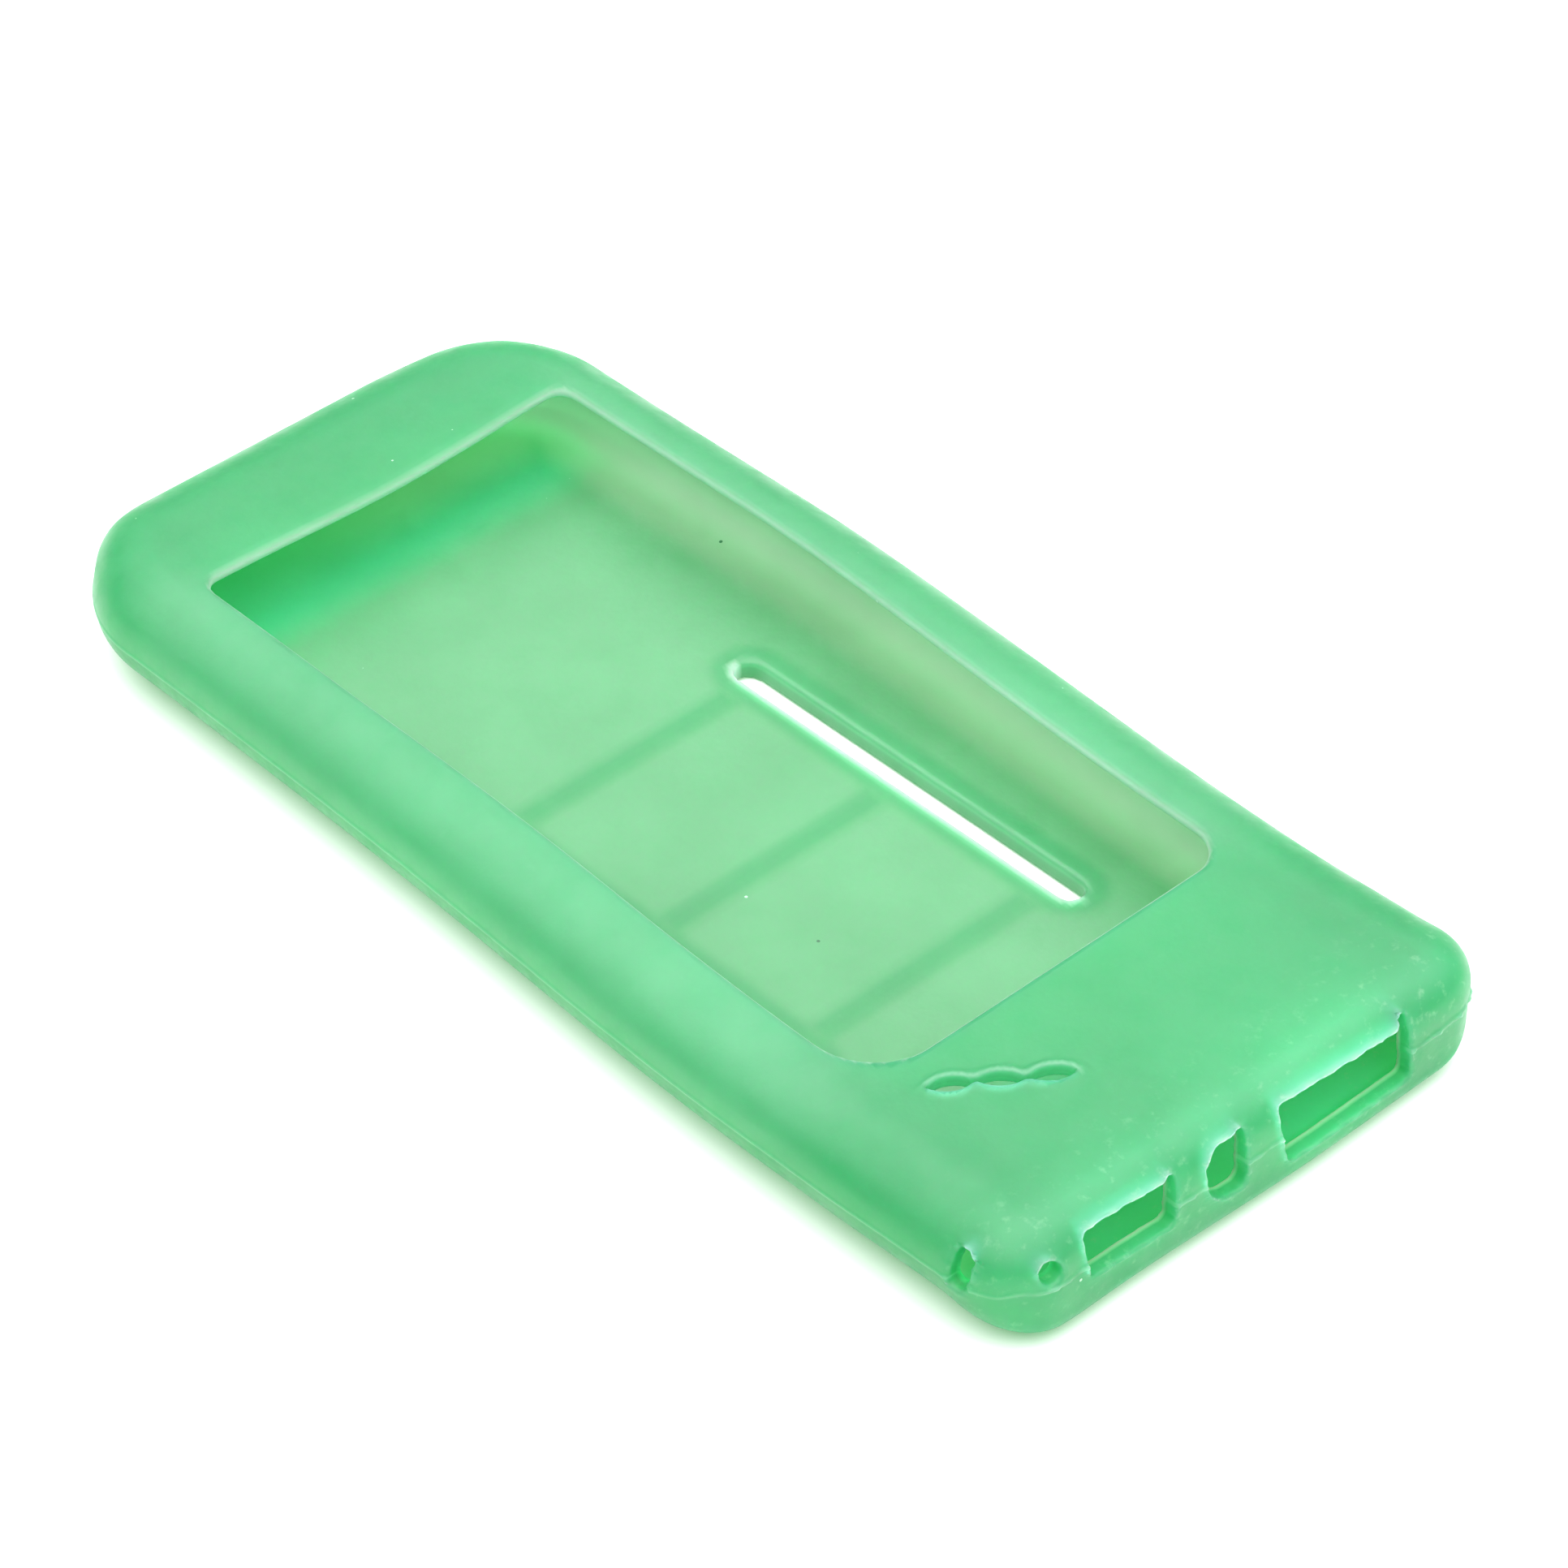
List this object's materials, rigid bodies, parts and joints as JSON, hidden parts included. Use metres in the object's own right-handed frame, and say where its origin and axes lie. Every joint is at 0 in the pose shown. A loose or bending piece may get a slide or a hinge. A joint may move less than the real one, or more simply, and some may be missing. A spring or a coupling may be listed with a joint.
{
  "type": "phone case",
  "caption": "Soft translucent silicone sleeve for a slim phone, with a screen window, strap slots in the back and plug openings in the bottom end.",
  "frame": {"origin": "under the middle of the sleeve, on the surface that it lies on", "axes": "+X to the phone's right, +Y to the phone's top, +Z out of the screen window"},
  "size_m": [0.0504, 0.1069, 0.0095],
  "materials": {
    "silicone": "matte translucent mint green silicone",
    "silicone_thin": "matte translucent mint green silicone, paler where it is thin"
  },
  "bodies": {
    "root": {"back_panel": "silicone_thin", "slot_rim_left": "silicone", "slot_rim_right": "silicone", "cross_rib_top": "silicone", "cross_rib_middle": "silicone", "cross_rib_bottom": "silicone", "tray_wall_left": "silicone", "tray_wall_right": "silicone", "tray_wall_top": "silicone", "tray_wall_bottom": "silicone", "frame_wall_left": "silicone", "frame_wall_right": "silicone", "frame_wall_top": "silicone", "frame_wall_bottom": "silicone", "bezel_left": "silicone", "bezel_right": "silicone", "forehead_panel": "silicone", "chin_panel": "silicone", "parting_bead": "silicone_thin", "charge_port_lip": "silicone_thin", "jack_port_lip": "silicone_thin", "dock_port_lip": "silicone_thin"}
  },
  "joints": []
}
